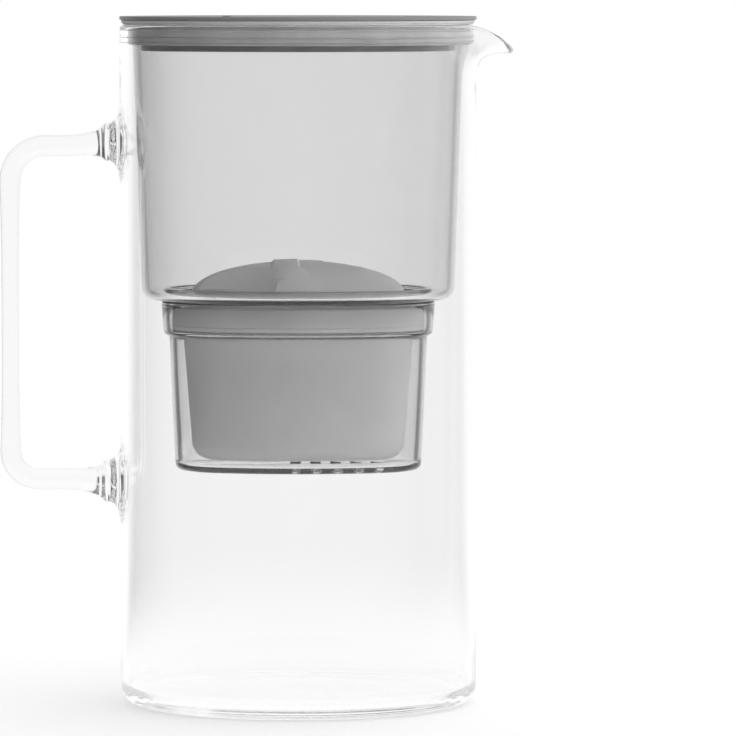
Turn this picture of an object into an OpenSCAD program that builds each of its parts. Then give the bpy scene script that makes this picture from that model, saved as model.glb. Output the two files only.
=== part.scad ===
// Glass water filter jug with a flush flip lid, in millimetres.
// The origin is the centre of the jug's base on the table, +Z is up, the spout points to +X
// and the handle to -X.

/* [Jug] */
// Outside diameter of the glass
jug_d = 125; // [122:0.5:160]
// Height of the glass rim above the table
jug_h = 238; // [195:1:300]
// Thickness of the glass wall
jug_wall = 2.5; // [2:0.1:3.2]
// Thickness of the glass floor
jug_floor_t = 4; // [3:0.5:8]
// Radius of the rounded heel between wall and floor
heel_r = 6.4; // [5:0.1:12]

/* [Spout] */
// How far the lip of the spout reaches past the wall
spout_reach = 12.9; // [9:0.1:18]
// How far the tip of the spout drops below the rim
spout_drop = 7.5; // [5:0.1:10]
// How far below the rim the spout starts
spout_depth = 19; // [15:0.5:24]
// Angle from the middle of the spout to where it leaves the round wall
spout_half_angle = 32; // [24:1:40]

/* [Handle] */
// Diameter of the glass rod
rod_d = 7; // [6:0.1:9]
// Finger room between the wall and the rod
hand_gap = 35.3; // [28:0.1:45]
// Height from the lower arm's centre line to the upper arm's
handle_span = 118; // [95:1:145]
// Depth of the upper arm's centre line below the rim
handle_drop = 41.8; // [30:0.1:60]
// Centre line radius of the upper bend
upper_bend_r = 12.5; // [8:0.5:14.5]
// Centre line radius of the lower bend
lower_bend_r = 10; // [8:0.5:14.5]
// Diameter of the upper weld pad
upper_pad_d = 13.3; // [11:0.1:17]
// Diameter of the lower weld pad
lower_pad_d = 15.4; // [11:0.1:18]
// Distance from the wall to the face where pad and boss are welded
weld_standoff = 3.4; // [2.5:0.1:5]

/* [Mouth gasket] */
// Radial thickness of the silicone band
gasket_t = 1.55; // [1.2:0.05:2.2]
// Height of the silicone band below the glass rim
gasket_h = 6.9; // [6.5:0.1:10]
// Thickness of the flange that lies over the glass rim
gasket_flange_t = 0.6; // [0.5:0.1:1]
// Gap between the silicone band and the glass
gasket_gap = 0.6; // [0.5:0.05:1]
// Gap between a lip and the glass
lip_gap = 0.2; // [0.15:0.05:0.35]

/* [Hopper] */
// Depth from the glass rim to the hopper's underside
hopper_depth = 95.8; // [78:0.1:116]
// Wall thickness of the hopper
hopper_wall = 2.4; // [1.8:0.1:3]
// Thickness of the hopper's floor
hopper_floor_t = 2.2; // [1.6:0.1:3]
// How much the hopper's radius shrinks from its collar to its floor
hopper_taper = 2.95; // [1:0.05:4]
// Outer radius of the corner between the hopper's wall and floor
hopper_corner_r = 4.5; // [3.5:0.1:6]
// Thickness of the hopper's rim flange
hopper_flange_t = 1; // [0.8:0.1:1.6]
// How far the rim flange stays inside the jug's outer face
hopper_flange_inset = 0.6; // [0.4:0.1:1.5]

/* [Filter holder] */
// Depth from the hopper's underside to the underside of the holder
holder_depth = 60.1; // [59:0.1:75]
// Depth from the hopper's underside to the seat of the cartridge
seat_depth = 11.4; // [10:0.1:12.8]
// Wall thickness of the holder's lower cup
holder_wall = 2.3; // [1.6:0.1:2.6]
// Thickness of the holder's floor
holder_floor_t = 2; // [1.6:0.1:3]
// How much the lower cup shrinks from the seat to the floor on each side
holder_taper = 2; // [0.5:0.1:2.4]
// Width of one outlet slot
outlet_slot_w = 3.6; // [2.5:0.1:3.8]
// Length of one outlet slot
outlet_slot_l = 18; // [12:1:24]
// Number of outlet slots
outlet_slots = 5; // [3:1:5]
// Distance from one outlet slot to the next
outlet_pitch = 7; // [6:0.5:7.5]
// Thickness of the dark seal between hopper and holder
hopper_seal_t = 1.2; // [0.8:0.1:2]

/* [Cartridge] */
// Half length of the cartridge's oval rim
cartridge_a = 44.2; // [43:0.1:46]
// Half depth of the cartridge's oval rim
cartridge_b = 27.2; // [26:0.1:28.2]
// Height of the cup below its rim
cup_depth = 45.5; // [37:0.1:46.5]
// Half length of the cup just under the rim
cup_a = 40.4; // [38:0.1:40.6]
// How much the cup shrinks from its rim to its foot on each side
cup_taper = 3.1; // [2.5:0.1:4]
// Wall thickness of the cup and its cap
cup_wall = 1.5; // [1:0.1:2]
// Thickness of the cup's rim
cup_rim_t = 1.5; // [1:0.1:2.5]
// Height of the cap's upright band
band_h = 7.2; // [6.5:0.1:10]
// Height of the dome above its base
dome_h = 11.7; // [9:0.1:16]
// Half length of the dome at its base
dome_a = 37.5; // [34:0.1:39]
// Radius of the round grip pockets in the dome
pocket_r = 21.6; // [18:0.1:24]
// Thickness of the cartridge's seal
cup_seal_t = 0.65; // [0.5:0.05:1]
// Height of the coarse carbon layer
carbon_h = 15; // [8:0.5:20]
// Height of the resin layer
resin_h = 19; // [10:0.5:22]

/* [Lid] */
// Thickness of the lid's cover plate
cover_t = 1.25; // [1:0.05:2]
// Thickness of the plug's web under the cover
web_t = 1.5; // [1.2:0.1:2.5]
// Thickness of the plug's skirt
skirt_t = 1.5; // [1.2:0.1:2.2]
// Depth of the skirt below the cover's underside
skirt_h = 10.7; // [8:0.1:16]

/* [Flap] */
// Length of the flap from the hinge to its front edge
flap_l = 62; // [50:1:66]
// Width of the flap
flap_w = 56; // [50:1:62]
// Radius of the flap's front corners
flap_corner_r = 14; // [8:1:20]
// Distance of the hinge from the middle of the lid, towards the handle
hinge_back = 24; // [18:1:30]
// Radius of the hinge barrel
barrel_r = 2.1; // [1.9:0.1:2.3]
// Diameter of the hinge pin
pin_d = 2; // [1.6:0.1:2.2]
// Length of the flap's hinge barrel
barrel_l = 44; // [30:1:46]
// Width of one hinge ear
ear_w = 4; // [3:0.5:6]
// Depth of the flap's rib below its plate
rib_h = 3; // [2:0.1:4]
// Angle at which the flap's back meets the cover
flap_open = 105; // [95:1:115]
// Depth of the finger dish in front of the flap
dish_depth = 2.6; // [1.8:0.1:2.8]

/* [Clearances] */
// Clearance of the lid's skirt inside the hopper
skirt_gap = 0.35; // [0.2:0.05:0.6]
// Gap between flat faces of pieces that lift apart
rest_gap = 0.05; // [0.02:0.01:0.1]
// Clearance around the flap
flap_gap = 0.4; // [0.3:0.05:0.6]
// Running clearance of the hinge pin, on the radius
pin_gap = 0.05; // [0.02:0.01:0.08]
// Clearance of the cartridge's rim in the holder
cartridge_gap = 0.7; // [0.4:0.05:1]

/* [Hidden] */

$fn = 96;
tiny = 0.015;  // inset that keeps two joined glass shapes from sharing a skin
oval_sides = 72;

jug_r = jug_d / 2;
jug_ri = jug_r - jug_wall;
rim_r = jug_wall / 2;

// heights of the stack that closes the mouth
gasket_top = jug_h + 2 * rest_gap + gasket_flange_t;
hopper_top = gasket_top + hopper_flange_t;
cover_z = hopper_top + rest_gap;
lid_top = cover_z + cover_t;

// hopper
collar_r = jug_ri - gasket_gap - gasket_t;
hopper_ri = collar_r - hopper_wall;
hopper_foot_r = collar_r - hopper_taper;
hopper_z = jug_h - hopper_depth;
hopper_floor_z = hopper_z + hopper_floor_t;

// the oval is drawn with two radii, and every other oval is offset from it
oval_end_x = 21;
oval_k = cartridge_b - cartridge_a + oval_end_x;
oval_side_y = (oval_end_x * oval_end_x - oval_k * oval_k) / (2 * oval_k);
oval_turn = atan2(oval_side_y, oval_end_x);

// filter holder
spigot_ai = cartridge_a + cartridge_gap;
spigot_t = 1.7;
spigot_ao = spigot_ai + spigot_t;
floor_hole_a = spigot_ao + 0.2;
bead_a = spigot_ao + 0.6;
holder_a = spigot_ao + 1.4;
shoulder_z = hopper_z - hopper_seal_t;
seat_z = hopper_z - seat_depth;
step_z = seat_z - 1.6;
lower_a = cup_a + 4.8;
holder_z = hopper_z - holder_depth;
holder_floor_z = holder_z + holder_floor_t;
bead_z = hopper_floor_z + 0.3;
spigot_top = bead_z + 1.1;

// cartridge
cup_rim_z = seat_z + rest_gap + cup_seal_t;
cap_z = cup_rim_z + cup_rim_t;
cup_z = cup_rim_z - cup_depth;
cup_floor_z = cup_z + cup_wall;
foot_a = cup_a - cup_taper;
foot_r = 6;
band_top = cap_z + band_h;
dome_z = band_top + 3.4;
dome_b = dome_a - cartridge_a + cartridge_b;
screen_t = 0.9;
resin_z = cup_floor_z + screen_t;
carbon_z = resin_z + resin_h;
upper_screen_z = carbon_z + carbon_h;
bed_gap = 0.2;

// lid and flap
plug_r = hopper_ri - skirt_gap;
web_z = cover_z - web_t;
hinge_x = -hinge_back;
hinge_z = lid_top - barrel_r - 0.2;
hinge_drop = lid_top - hinge_z;
flap_front = hinge_x + flap_l;
ledge_w = 3;
rib_t = 1.6;
dish_r = 18;
dish_x = flap_front + 2;
pad_t = 1.5;
pin_l = barrel_l + 2 * flap_gap + 2 * ear_w;
stop_gap = 0.06;

// points on an arc, from angle a0 to angle a1
function arc(cx, cy, r, a0, a1, n) =
    [for (i = [0 : n]) let (a = a0 + (a1 - a0) * i / n) [cx + r * cos(a), cy + r * sin(a)]];

// point of the oval of half length a whose outward normal has angle f
function oval_point(a, f) = abs(cos(f)) > cos(oval_turn)
    ? [sign(cos(f)) * oval_end_x + (a - oval_end_x) * cos(f), (a - oval_end_x) * sin(f)]
    : let (r = cartridge_b + oval_side_y + a - cartridge_a)
      [r * cos(f), r * sin(f) - sign(sin(f)) * oval_side_y];

function oval(a) = [for (i = [0 : oval_sides - 1]) oval_point(a, 360 * (i + 0.5) / oval_sides)];

// Joins oval rings, each [half length, height, scale], into one closed solid.
module loft(rings) {
    n = oval_sides;
    last = len(rings) - 1;
    points = [for (r = rings) for (p = oval(r[0])) [p[0] * r[2], p[1] * r[2], r[1]]];
    sides = [for (i = [0 : last - 1]) for (j = [0 : n - 1])
        [i * n + j, (i + 1) * n + j, (i + 1) * n + (j + 1) % n, i * n + (j + 1) % n]];
    bottom = [for (j = [0 : n - 1]) j];
    top = [for (j = [0 : n - 1]) last * n + n - 1 - j];
    polyhedron(points, concat([bottom], sides, [top]), convexity = 6);
}

// Adds the scale of 1 to plain rings.
function plain(rings) = [for (r = rings) [r[0], r[1], 1]];

// Upright ring between two ovals.
module oval_ring(a_out, a_in, z, h) {
    translate([0, 0, z]) linear_extrude(h) difference() {
        polygon(oval(a_out));
        polygon(oval(a_in));
    }
}

// ---- jug ----

// share of the spout's pull at angle f from its middle
function pull(f) = abs(f) < spout_half_angle ? pow((1 + cos(180 * f / spout_half_angle)) / 2, 2.5) : 0;

function bezier(a, b, c, d, t) =
    a * pow(1 - t, 3) + 3 * b * t * pow(1 - t, 2) + 3 * c * t * t * (1 - t) + d * pow(t, 3);

spout_z = jug_h - spout_depth;
wall_mid_r = jug_r - rim_r;
wall_end_z = jug_h - rim_r;
lip_end_r = jug_r + spout_reach - rim_r;
lip_end_z = wall_end_z - spout_drop;

// middle of the glass wall at angle f and height share t, as [radius, height]
function wall_mid(f, t) =
    let (
        straight = [wall_mid_r, spout_z + (wall_end_z - spout_z) * t],
        lip = t < 0 ? straight : bezier(
            [wall_mid_r, spout_z],
            [wall_mid_r + 0.02 * spout_reach, spout_z + 0.85 * (lip_end_z - spout_z)],
            [wall_mid_r + 0.36 * spout_reach, lip_end_z],
            [lip_end_r, lip_end_z], t),
        w = pull(f)
    )
    [straight[0] + (lip[0] - straight[0]) * w, straight[1] + (lip[1] - straight[1]) * pow(w, 1.9)];

function wall_point(f, t) = let (p = wall_mid(f, t)) [p[0] * cos(f), p[0] * sin(f), p[1]];

function unit(v) = v / norm(v);

function wall_up(f, t) = unit(wall_point(f, t + 0.01) - wall_point(f, t - 0.01));

function wall_out(f, t) = unit(cross(wall_point(f + 0.2, t) - wall_point(f - 0.2, t), wall_up(f, t)));

// closed section of the spout's wall at angle f, up outside, round the rim and down inside
function wall_section(f, steps, rim_steps, half) = concat(
    [for (i = [-1 : steps - 1]) wall_point(f, i / steps) + half * wall_out(f, i / steps)],
    [for (i = [0 : rim_steps]) let (a = 180 * i / rim_steps)
        wall_point(f, 1) + half * (cos(a) * wall_out(f, 1) + sin(a) * wall_up(f, 1))],
    [for (i = [steps - 1 : -1 : -1]) wall_point(f, i / steps) - half * wall_out(f, i / steps)]
);

// The pulled lip, from a little inside the round wall on one side to the other.
module pulled_lip() {
    overlap = 1;
    slices = 26;
    reach = spout_half_angle + overlap;
    sections = [for (i = [0 : slices])
        wall_section(-reach + 2 * reach * i / slices, 7, 6, rim_r - tiny)];
    m = len(sections[0]);
    points = [for (s = sections) for (p = s) p];
    sides = [for (i = [0 : slices - 1]) for (j = [0 : m - 1])
        [i * m + j, i * m + (j + 1) % m, (i + 1) * m + (j + 1) % m, (i + 1) * m + j]];
    first = [for (j = [0 : m - 1]) m - 1 - j];
    end = [for (j = [0 : m - 1]) slices * m + j];
    polyhedron(points, concat([first], sides, [end]), convexity = 6);
}

// section of the round vessel, from the middle of its floor out, up to the rim and back down
function vessel_section() = let (ri = heel_r - jug_wall) concat(
    [[0, 0]],
    arc(jug_r - heel_r, heel_r, heel_r, -90, 0, 8),
    arc(wall_mid_r, wall_end_z, rim_r, 0, 180, 8),
    arc(jug_ri - ri, jug_floor_t + ri, ri, 0, -90, 6),
    [[0, jug_floor_t]]
);

// Glass boss on the wall, drawn out to the weld face.
module weld_boss(z, pad_d) {
    foot = 10.8;
    reach = weld_standoff;
    throat = pad_d / 2 + 0.3;
    translate([-jug_ri - 0.4, 0, z]) rotate([0, -90, 0]) rotate_extrude() polygon([
        [0, 0],
        [foot, 0],
        [foot, jug_wall - 0.6],
        [throat + 0.45 * (foot - throat), jug_wall - 0.4 + 0.25 * reach],
        [throat + 0.15 * (foot - throat), jug_wall - 0.4 + 0.6 * reach],
        [throat, jug_wall - 0.4 + reach],
        [0, jug_wall - 0.4 + reach]
    ]);
}

upper_arm_z = jug_h - handle_drop;
lower_arm_z = upper_arm_z - handle_span;
weld_x = -jug_r - weld_standoff;

module jug_body() {
    color([0.86, 0.93, 0.95, 0.35]) union() {
        difference() {
            rotate_extrude() polygon(vessel_section());
            // room for the pulled lip
            translate([0, 0, spout_z]) linear_extrude(spout_depth + 1) polygon([
                [0, 0],
                [jug_d, -jug_d * tan(spout_half_angle)],
                [jug_d, jug_d * tan(spout_half_angle)]
            ]);
        }
        pulled_lip();
        weld_boss(upper_arm_z, upper_pad_d);
        weld_boss(lower_arm_z, lower_pad_d);
    }
}

// ---- handle ----

// End of the rod, spread into a weld pad.
module rod_end(z, pad_d) {
    pad_r = pad_d / 2;
    r = rod_d / 2;
    spread = pad_r - r;
    translate([weld_x, 0, z]) rotate([0, -90, 0]) rotate_extrude() polygon([
        [0, 0],
        [pad_r - 0.3, 0],
        [pad_r, 0.5],
        [pad_r, 1.6],
        [pad_r - 0.3, 2.1],
        [r + 0.62 * spread, 2.6],
        [r + 0.38 * spread, 3.6],
        [r + 0.18 * spread, 5.3],
        [r + 0.05 * spread, 7.8],
        [r, 10],
        [0, 10]
    ]);
}

module rod_bend(x, z, r, start) {
    translate([x, 0, z]) rotate([90, 0, 0]) rotate([0, 0, start])
        rotate_extrude(angle = 90) translate([r, 0]) circle(d = rod_d);
}

module jug_handle() {
    run_x = -jug_r - hand_gap - rod_d / 2;
    upper_x = run_x + upper_bend_r;
    lower_x = run_x + lower_bend_r;
    color([0.86, 0.93, 0.95, 0.35]) union() {
        rod_end(upper_arm_z, upper_pad_d);
        rod_end(lower_arm_z, lower_pad_d);
        translate([upper_x, 0, upper_arm_z]) rotate([0, 90, 0])
            cylinder(h = weld_x - 10 - upper_x, d = rod_d);
        translate([lower_x, 0, lower_arm_z]) rotate([0, 90, 0])
            cylinder(h = weld_x - 10 - lower_x, d = rod_d);
        rod_bend(upper_x, upper_arm_z - upper_bend_r, upper_bend_r, 90);
        rod_bend(lower_x, lower_arm_z + lower_bend_r, lower_bend_r, 180);
        translate([run_x, 0, lower_arm_z + lower_bend_r])
            cylinder(h = handle_span - upper_bend_r - lower_bend_r, d = rod_d);
    }
}

// ---- gasket, hopper, holder ----

// lip as [depth of its middle below the rim, thickness]
gasket_lips = [[1.8, 1], [4.4, 0.6], [6.2, 0.6]];

module mouth_gasket() {
    core_r = jug_ri - gasket_gap;
    lip_r = jug_ri - lip_gap;
    flange_z = jug_h + 2 * rest_gap;
    color([0.52, 0.52, 0.53]) union() {
        rotate_extrude() polygon([
            [collar_r, jug_h - gasket_h],
            [core_r - 0.4, jug_h - gasket_h],
            [core_r, jug_h - gasket_h + 0.4],
            [core_r, flange_z],
            [jug_r - hopper_flange_inset - 0.5, flange_z],
            [jug_r - hopper_flange_inset - 0.3, flange_z + gasket_flange_t],
            [collar_r, flange_z + gasket_flange_t]
        ]);
        for (lip = gasket_lips) rotate_extrude() polygon([
            [core_r - 0.5, jug_h - lip[0] - lip[1] / 2],
            [lip_r, jug_h - lip[0] - 0.15],
            [lip_r, jug_h - lip[0] + 0.15],
            [core_r - 0.5, jug_h - lip[0] + lip[1] / 2]
        ]);
    }
}

module hopper() {
    inner_corner_r = hopper_corner_r - hopper_floor_t;
    flange_r = jug_r - hopper_flange_inset;
    color([0.62, 0.62, 0.63, 0.6]) difference() {
        rotate_extrude() polygon(concat(
            [[0, hopper_z]],
            arc(hopper_foot_r - hopper_corner_r, hopper_z + hopper_corner_r, hopper_corner_r, -90, 0, 6),
            [
                [collar_r, jug_h - gasket_h - 0.3],
                [collar_r, gasket_top],
                [flange_r, gasket_top],
                [flange_r, hopper_top - 0.3],
                [flange_r - 0.3, hopper_top],
                [hopper_ri, hopper_top],
                [hopper_ri, jug_h - gasket_h - 0.3]
            ],
            arc(hopper_foot_r - hopper_wall - inner_corner_r, hopper_floor_z + inner_corner_r,
                inner_corner_r, 0, -90, 5),
            [[0, hopper_floor_z]]
        ));
        translate([0, 0, hopper_z - 1]) linear_extrude(hopper_floor_t + 2) polygon(oval(floor_hole_a));
    }
}

module hopper_seal() {
    color([0.06, 0.06, 0.06]) oval_ring(holder_a - 0.3, spigot_ao + 0.15, shoulder_z, hopper_seal_t);
}

module filter_holder() {
    foot_out = lower_a - holder_taper;
    foot_in = foot_out - holder_wall;
    corner_r = 2.5;
    color([0.62, 0.62, 0.63, 0.6]) difference() {
        loft(plain(concat(
            [for (p = arc(foot_out - corner_r, holder_z + corner_r, corner_r, -90, 0, 4)) p],
            [
                [lower_a, step_z - 0.4],
                [lower_a + 0.3, step_z],
                [holder_a - 1.3, step_z + 0.5],
                [holder_a - 0.7, step_z + 1.8],
                [holder_a, shoulder_z - 0.5],
                [holder_a - 0.3, shoulder_z],
                [spigot_ao, shoulder_z],
                [spigot_ao, bead_z],
                [bead_a, bead_z + 0.3],
                [bead_a, bead_z + 0.6],
                [spigot_ao, spigot_top],
                [spigot_ai, spigot_top],
                [spigot_ai, shoulder_z + 0.2],
                [spigot_ai + 0.7, shoulder_z - 0.8],
                [spigot_ai + 0.2, seat_z + 0.6],
                [spigot_ai - 0.5, seat_z],
                [lower_a - holder_wall, seat_z],
                [lower_a - holder_wall - 0.1, seat_z - 2]
            ],
            [for (p = arc(foot_in - 2, holder_floor_z + 2, 2, 0, -90, 3)) p]
        )));
        // the outlet grille lies off centre, towards the spout
        for (i = [0 : outlet_slots - 1])
            translate([i * outlet_pitch - 1, 0, holder_z - 1]) linear_extrude(holder_floor_t + 2)
                union() {
                    square([outlet_slot_w, outlet_slot_l - outlet_slot_w], center = true);
                    for (side = [-1, 1])
                        translate([0, side * (outlet_slot_l - outlet_slot_w) / 2])
                            circle(d = outlet_slot_w, $fn = 24);
                }
    }
}

// ---- cartridge ----

// half length of the cup's outer wall at height z
function cup_a_at(z) = foot_a + (cup_a - foot_a) * (z - cup_z - foot_r) / (cup_depth - foot_r);

module cartridge_cup() {
    window_a = 27;
    color([0.72, 0.72, 0.73]) difference() {
        loft(plain(concat(
            arc(foot_a - foot_r, cup_z + foot_r, foot_r, -90, 0, 5),
            [
                [cup_a, cup_rim_z],
                [cartridge_a - 0.3, cup_rim_z],
                [cartridge_a, cup_rim_z + 0.3],
                [cartridge_a, cap_z],
                [cup_a - cup_wall, cap_z],
                [cup_a - cup_wall, cup_rim_z]
            ],
            arc(foot_a - foot_r, cup_z + foot_r, foot_r - cup_wall, 0, -90, 4)
        )));
        translate([0, 0, cup_z - 1]) linear_extrude(cup_wall + 2) difference() {
            polygon(oval(window_a));
            for (x = [-14, 0, 14]) translate([x - 0.7, -20]) square([1.4, 40]);
        }
    }
}

module cartridge_seal() {
    color([0.2, 0.2, 0.2])
        oval_ring(cartridge_a - 0.2, cup_a + 0.8, seat_z + rest_gap, cup_seal_t);
}

// Straight slab that fills the cup at height z.
module cup_layer(z, h, a) {
    translate([0, 0, z]) linear_extrude(h) polygon(oval(a));
}

module lower_screen() {
    color([0.9, 0.9, 0.9]) cup_layer(cup_floor_z + rest_gap, screen_t - rest_gap, foot_a - foot_r);
}

module resin_bed() {
    low_a = foot_a - foot_r + 2.2;
    high = resin_z + resin_h;
    color([0.85, 0.72, 0.45]) loft(plain([
        [low_a, resin_z],
        [low_a + 1.3, resin_z + 1.2],
        [cup_a_at(resin_z + 4) - cup_wall - bed_gap - 0.1, resin_z + 4],
        [cup_a_at(high) - cup_wall - bed_gap, high]
    ]));
}

module carbon_bed() {
    color([0.1, 0.1, 0.1]) loft(plain([
        [cup_a_at(carbon_z) - cup_wall - bed_gap, carbon_z],
        [cup_a_at(carbon_z + carbon_h) - cup_wall - bed_gap, carbon_z + carbon_h]
    ]));
}

module upper_screen() {
    color([0.9, 0.9, 0.9])
        cup_layer(upper_screen_z, screen_t, cup_a_at(upper_screen_z) - cup_wall - bed_gap);
}

// rings of the dome over an oval base, drawn in by inset all over
function dome_rings(inset) = [for (i = [0 : 7]) let (a = 11.5 * i)
    [dome_a - inset, dome_z + (dome_h - inset) * sin(a), cos(a)]];

// rings of the cap from its lower edge to the foot of the dome, drawn in by inset
function band_rings(inset, low) = plain([
    [cartridge_a - inset, low],
    [cartridge_a - inset, band_top - 0.9],
    [cartridge_a - inset - 0.9, band_top - (inset > 0 ? 0.6 : 0)],
    [dome_a - inset + 0.6, dome_z - inset - 0.6]
]);

// Round grip pocket; its floor falls towards the front and towards the grip ridge.
module grip_pocket(grow) {
    for (turn = [0, 180]) rotate([0, 0, turn])
        translate([-27, -27, dome_z + 6.2 - grow]) rotate([-16, 9, 0])
            cylinder(h = 30, r = pocket_r + grow, $fn = 64);
}

module cartridge_cap() {
    color([0.7, 0.7, 0.71]) difference() {
        loft(concat(band_rings(0, cap_z), dome_rings(0)));
        difference() {
            loft(concat(band_rings(cup_wall, cap_z - 1), dome_rings(cup_wall)));
            grip_pocket(cup_wall);
        }
        grip_pocket(0);
        // water runs in through slots in the cap's shoulder
        for (x = [-25 : 5 : 25]) for (side = [-1, 1])
            translate([x - 0.6, side * (dome_b + 3.2) - 2, band_top - 2]) cube([1.2, 4, 5]);
    }
}

// ---- lid ----

// Outline of the flap, grown by d, from the hinge line forwards.
module flap_outline(d) {
    r = flap_corner_r + d;
    w = flap_w / 2 + d;
    front = flap_front + d;
    back = hinge_x;
    polygon(concat(
        [[back, -w]],
        arc(front - r, -w + r, r, -90, 0, 8),
        arc(front - r, w - r, r, 0, 90, 8),
        [[back, w]]
    ));
}

// Slot through the lid for the barrel; its back face is the stop that the open flap meets.
module hinge_slot(half_l, front) {
    lean = flap_open - 90;
    rise = hinge_drop + 1;
    top_x = -(hinge_drop * (1 + sin(lean)) / cos(lean)) - stop_gap;
    translate([hinge_x, half_l, hinge_z]) rotate([90, 0, 0]) linear_extrude(2 * half_l) polygon([
        [top_x - tan(lean) * (rise - hinge_drop), rise],
        [top_x + tan(lean) * hinge_drop, 0],
        [top_x + tan(lean) * hinge_drop, -8],
        [front, -8],
        [front, rise]
    ]);
}

module lid_plug() {
    hole_w = flap_w / 2 - ledge_w;
    slot_half = barrel_l / 2 + flap_gap;
    color([0.56, 0.56, 0.57]) difference() {
        union() {
            difference() {
                rotate_extrude() polygon([
                    [0, web_z],
                    [plug_r - skirt_t, web_z],
                    [plug_r - skirt_t, cover_z - skirt_h + 0.4],
                    [plug_r - skirt_t + 0.4, cover_z - skirt_h],
                    [plug_r - 0.5, cover_z - skirt_h],
                    [plug_r - 0.1, cover_z - skirt_h + 0.5],
                    [plug_r, cover_z],
                    [0, cover_z]
                ]);
                translate([0, 0, web_z - 1]) linear_extrude(web_t + 2) flap_outline(-ledge_w);
                hinge_slot(slot_half, flap_l / 2);
            }
            // pad under the finger dish
            intersection() {
                translate([dish_x, 0, web_z - pad_t]) cylinder(h = pad_t + 0.1, r = 12);
                translate([0, 0, web_z - pad_t]) cylinder(h = pad_t + 0.1, r = plug_r - skirt_t / 2);
                translate([flap_front - ledge_w, -20, web_z - pad_t]) cube([40, 40, pad_t + 0.1]);
            }
            for (side = [-1, 1])
                translate([hinge_x, side * (slot_half + ear_w / 2), hinge_z]) rotate([90, 0, 0])
                    cylinder(h = ear_w, r = barrel_r, center = true);
        }
        translate([hinge_x, 0, hinge_z]) rotate([90, 0, 0])
            cylinder(h = pin_l + 2, d = pin_d + 2 * pin_gap, center = true);
        translate([dish_x, 0, lid_top - dish_depth + dish_r]) sphere(r = dish_r);
    }
}

module lid_cover() {
    edge = 0.35;
    color([0.45, 0.45, 0.46]) difference() {
        rotate_extrude() polygon([
            [0, cover_z],
            [jug_r - edge, cover_z],
            [jug_r, cover_z + edge],
            [jug_r, lid_top - edge],
            [jug_r - edge, lid_top],
            [0, lid_top]
        ]);
        translate([0, 0, cover_z - 1]) linear_extrude(cover_t + 2) flap_outline(flap_gap);
        hinge_slot(max(flap_w / 2 + flap_gap, pin_l / 2 + 0.3), barrel_r + flap_gap);
        translate([dish_x, 0, lid_top - dish_depth + dish_r]) sphere(r = dish_r);
    }
}

module flap() {
    plate_z = cover_z + rest_gap;
    rib_out = -ledge_w - flap_gap;
    color([0.45, 0.45, 0.46]) difference() {
        union() {
            difference() {
                translate([0, 0, plate_z]) linear_extrude(lid_top - plate_z) flap_outline(0);
                // the corners beside the barrel make room for the hinge ears
                for (side = [-1, 1])
                    translate([hinge_x, side * (barrel_l / 2 + 20), plate_z])
                        cube([2 * (barrel_r + flap_gap), 40, 10], center = true);
            }
            translate([0, 0, plate_z - rib_h]) linear_extrude(rib_h + 0.1) difference() {
                intersection() {
                    flap_outline(rib_out);
                    translate([hinge_x + 4, -flap_w]) square(2 * flap_w);
                }
                intersection() {
                    flap_outline(rib_out - rib_t);
                    translate([hinge_x + 4 + rib_t, -flap_w]) square(2 * flap_w);
                }
            }
            translate([hinge_x, 0, hinge_z]) rotate([90, 0, 0])
                cylinder(h = barrel_l, r = barrel_r, center = true);
        }
        translate([hinge_x, 0, hinge_z]) rotate([90, 0, 0])
            cylinder(h = barrel_l + 2, d = pin_d + 2 * pin_gap, center = true);
    }
}

module hinge_pin() {
    color("silver") translate([hinge_x, 0, hinge_z]) rotate([90, 0, 0])
        cylinder(h = pin_l, d = pin_d, center = true);
}

jug_body();
jug_handle();
mouth_gasket();
hopper();
hopper_seal();
filter_holder();
cartridge_cup();
cartridge_seal();
lower_screen();
resin_bed();
carbon_bed();
upper_screen();
cartridge_cap();
lid_plug();
lid_cover();
flap();
hinge_pin();
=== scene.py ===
# %% [markdown]
# # A glass filter jug, piece by piece
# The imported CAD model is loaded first. It gives every piece its place and size, and its bodies
# move in MuJoCo. Each cell below models or finishes one real piece of the jug in Blender, in the
# same frame: metres, +Z up, the spout at +X and the handle at -X.

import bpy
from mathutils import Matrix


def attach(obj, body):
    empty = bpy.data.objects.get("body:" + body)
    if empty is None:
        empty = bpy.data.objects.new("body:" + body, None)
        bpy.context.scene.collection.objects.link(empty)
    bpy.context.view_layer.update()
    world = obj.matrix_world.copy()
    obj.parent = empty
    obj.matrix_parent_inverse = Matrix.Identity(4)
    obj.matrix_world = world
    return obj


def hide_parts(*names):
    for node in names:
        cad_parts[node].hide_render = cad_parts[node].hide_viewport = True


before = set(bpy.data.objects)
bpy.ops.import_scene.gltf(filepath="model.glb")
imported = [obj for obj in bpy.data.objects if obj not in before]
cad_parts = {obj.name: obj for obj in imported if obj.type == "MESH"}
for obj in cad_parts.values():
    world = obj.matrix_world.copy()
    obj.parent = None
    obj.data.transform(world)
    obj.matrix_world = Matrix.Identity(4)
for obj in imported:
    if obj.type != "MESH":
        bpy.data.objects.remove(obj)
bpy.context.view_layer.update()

# %% Blender's own modules
import math

import bmesh
import bpy
from mathutils import Vector

MM = 0.001

# %% [markdown]
# ## Hand tools
# A few short helpers stand for what a hand does again and again: let go of everything, name a new
# primitive and go into edit mode, and pick vertices or edges by their place and direction.


# %% Let go, begin and pick
def let_go():
    if bpy.context.object and bpy.context.object.mode != "OBJECT":
        bpy.ops.object.mode_set(mode="OBJECT")
    bpy.ops.object.select_all(action="DESELECT")


def begin(name):
    ob = bpy.context.object
    ob.name = name
    ob.data.name = name
    bpy.ops.object.mode_set(mode="EDIT")
    bpy.ops.mesh.select_all(action="SELECT")
    return ob


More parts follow.
